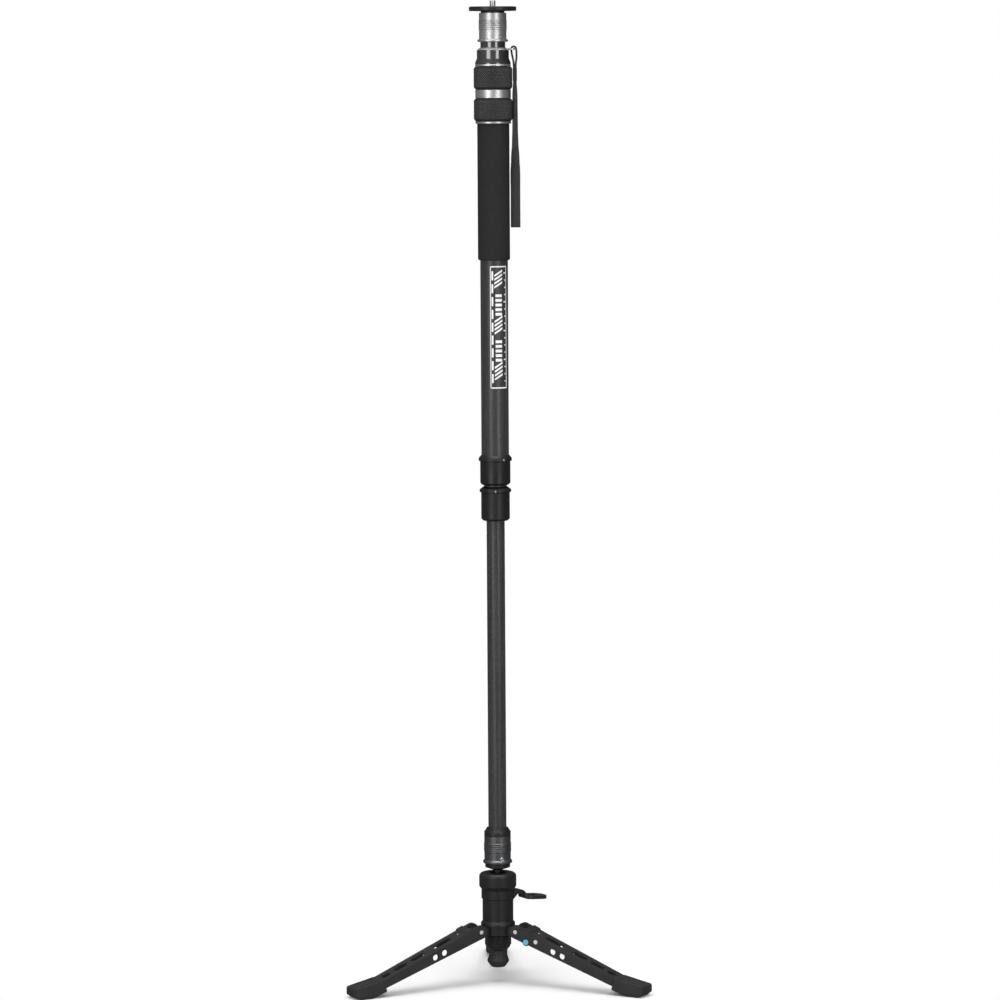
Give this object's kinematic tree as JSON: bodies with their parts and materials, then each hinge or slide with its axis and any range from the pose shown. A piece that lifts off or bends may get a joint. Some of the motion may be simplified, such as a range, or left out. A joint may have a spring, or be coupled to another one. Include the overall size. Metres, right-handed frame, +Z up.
{
  "type": "camera monopod",
  "caption": "Telescoping camera monopod with twist-lock grips, quick-release sleeves, a pedal-braked ball base and fold-out feet",
  "frame": {"origin": "on the floor, on the axis of the upright pole, midway between the three feet", "axes": "+Z up along the pole, -Y towards the picture's camera, +X to its right"},
  "size_m": [0.3306, 0.2864, 1.072],
  "materials": {
    "black_metal": "satin black enamel",
    "gloss_black": "gloss black anodised",
    "silver": "satin anodised",
    "grey_metal": "grey anodised",
    "steel": "turned steel",
    "spring_steel": "drawn spring wire",
    "carbon": "wound carbon fibre under clear coat",
    "rubber": "matt",
    "foam": "dense closed-cell foam",
    "nylon": "glass-filled, matt",
    "blue_plastic": "satin",
    "white_plastic": "smooth bearing plastic",
    "webbing": "woven nylon"
  },
  "bodies": {
    "base": {"base_body": "black_metal", "bell_cap": "black_metal", "band_ring": "black_metal", "ball_seat": "white_plastic", "leg_hub": "black_metal", "hub_nut": "black_metal", "centre_stem": "steel", "centre_foot": "rubber", "hinge_pins": "steel", "pedal_pin": "steel"},
    "pedal": {"foot_pedal": "grey_metal"},
    "brake": {"brake_piston": "steel", "brake_spring": "spring_steel"},
    "race": {"swivel_race": "white_plastic"},
    "ball": {"ball_stem": "steel"},
    "cup": {"lower_cup": "black_metal", "lower_sleeve_spring": "spring_steel"},
    "lower_release": {"lower_sleeve": "grey_metal", "lower_sleeve_screw": "steel"},
    "lower_pole": {"cap_ring": "black_metal", "lower_tube": "carbon", "lower_lock_plug": "nylon"},
    "middle_pole": {"middle_tube": "carbon", "lower_collar": "gloss_black", "lower_collar_screw": "steel", "upper_lock_plug": "nylon"},
    "lock_shaft": {"lower_lock_tube": "silver"},
    "upper_pole": {"upper_tube": "carbon", "upper_collar": "gloss_black", "upper_collar_screw": "steel", "foam_grip": "foam", "handle_core": "gloss_black", "index_ring": "silver", "trim_rings": "silver", "neck_ring": "black_metal", "eyelet_ring": "silver", "upper_sleeve_spring": "spring_steel", "strap_cord": "webbing", "strap_tab": "webbing", "strap_webbing": "webbing"},
    "lower_grip": {"lower_twist_grip": "rubber", "upper_lock_rod": "steel"},
    "upper_grip": {"upper_twist_grip": "rubber", "lower_lock_rod": "steel"},
    "upper_release": {"upper_sleeve": "silver", "upper_sleeve_screw": "steel"},
    "adapter": {"top_plate": "black_metal", "camera_stud": "silver"},
    "right_fold": {"right_leg": "black_metal", "right_leg_foot": "rubber", "right_leg_screws": "steel"},
    "right_press": {"right_leg_button": "blue_plastic"},
    "rear_fold": {"rear_leg": "black_metal", "rear_leg_foot": "rubber", "rear_leg_screws": "steel"},
    "rear_press": {"rear_leg_button": "blue_plastic"},
    "left_fold": {"left_leg": "black_metal", "left_leg_foot": "rubber", "left_leg_screws": "steel"},
    "left_press": {"left_leg_button": "blue_plastic"}
  },
  "joints": [
    {"name": "right_leg_hinge", "type": "hinge", "parent": "base", "child": "right_fold", "pos_m": [0.02425, -0.014, 0.059], "axis": [-0.5, -0.866, 0], "range_deg": [0, 109]},
    {"name": "right_button_press", "type": "slide", "parent": "right_fold", "child": "right_press", "axis": [0.5, 0.866, 0], "range_m": [0, 0.0025], "stiffness_N_per_m": 400, "springref_m": -0.003},
    {"name": "rear_leg_hinge", "type": "hinge", "parent": "base", "child": "rear_fold", "pos_m": [0, 0.028, 0.059], "axis": [1, 0, 0], "range_deg": [0, 109]},
    {"name": "rear_button_press", "type": "slide", "parent": "rear_fold", "child": "rear_press", "axis": [-1, 0, 0], "range_m": [0, 0.0025], "stiffness_N_per_m": 400, "springref_m": -0.003},
    {"name": "left_leg_hinge", "type": "hinge", "parent": "base", "child": "left_fold", "pos_m": [-0.02425, -0.014, 0.059], "axis": [-0.5, 0.866, 0], "range_deg": [0, 109]},
    {"name": "left_button_press", "type": "slide", "parent": "left_fold", "child": "left_press", "axis": [0.5, -0.866, 0], "range_m": [0, 0.0025], "stiffness_N_per_m": 400, "springref_m": -0.003},
    {"name": "pedal_press", "type": "hinge", "parent": "base", "child": "pedal", "pos_m": [0.01126, 0.0065, 0.09], "axis": [-0.5, 0.866, 0], "range_deg": [0, 15]},
    {"name": "brake_lift", "type": "slide", "parent": "base", "child": "brake", "axis": [0, 0, 1], "range_m": [0, 0.00209], "stiffness_N_per_m": 150, "springref_m": -0.004, "deforming": ["brake_spring"]},
    {"name": "lean_direction", "type": "hinge", "parent": "base", "child": "race", "pos_m": [0, 0, 0.106], "axis": [0, 0, 1], "continuous": true},
    {"name": "ball_lean", "type": "hinge", "parent": "race", "child": "ball", "pos_m": [0, 0, 0.106], "axis": [-1, 0, 0], "range_deg": [0, 14]},
    {"name": "pan", "type": "hinge", "parent": "ball", "child": "cup", "pos_m": [0, 0, 0.128], "axis": [0, 0, 1], "continuous": true},
    {"name": "lower_release_pull", "type": "slide", "parent": "cup", "child": "lower_release", "axis": [0, 0, -1], "range_m": [0, 0.004], "stiffness_N_per_m": 500, "springref_m": -0.004, "deforming": ["lower_sleeve_spring"]},
    {"name": "pole_lift_off", "type": "slide", "parent": "cup", "child": "lower_pole", "axis": [0, 0, 1], "range_m": [0, 0.025]},
    {"name": "middle_slide", "type": "slide", "parent": "lower_pole", "child": "middle_pole", "axis": [0, 0, 1], "range_m": [-0.332, 0]},
    {"name": "upper_slide", "type": "slide", "parent": "middle_pole", "child": "upper_pole", "axis": [0, 0, 1], "range_m": [0, 0.33]},
    {"name": "lower_grip_turn", "type": "hinge", "parent": "upper_pole", "child": "lower_grip", "pos_m": [0, 0, 0.96], "axis": [0, 0, 1], "range_deg": [0, 60]},
    {"name": "upper_grip_turn", "type": "hinge", "parent": "upper_pole", "child": "upper_grip", "pos_m": [0, 0, 0.995], "axis": [0, 0, 1], "range_deg": [0, 60]},
    {"name": "lock_shaft_turn", "type": "hinge", "parent": "middle_pole", "child": "lock_shaft", "pos_m": [0, 0, 0.7], "axis": [0, 0, 1], "range_deg": [0, 60]},
    {"name": "upper_release_pull", "type": "slide", "parent": "upper_pole", "child": "upper_release", "axis": [0, 0, -1], "range_m": [0, 0.005], "stiffness_N_per_m": 500, "springref_m": -0.004, "deforming": ["upper_sleeve_spring"]},
    {"name": "adapter_lift_off", "type": "slide", "parent": "upper_pole", "child": "adapter", "axis": [0, 0, 1], "range_m": [0, 0.03]}
  ],
  "couplings": [
    {"joint": "pedal_press", "follows": "brake_lift", "rad_per_m": 125},
    {"joint": "lock_shaft_turn", "follows": "upper_grip_turn", "ratio": 1}
  ]
}
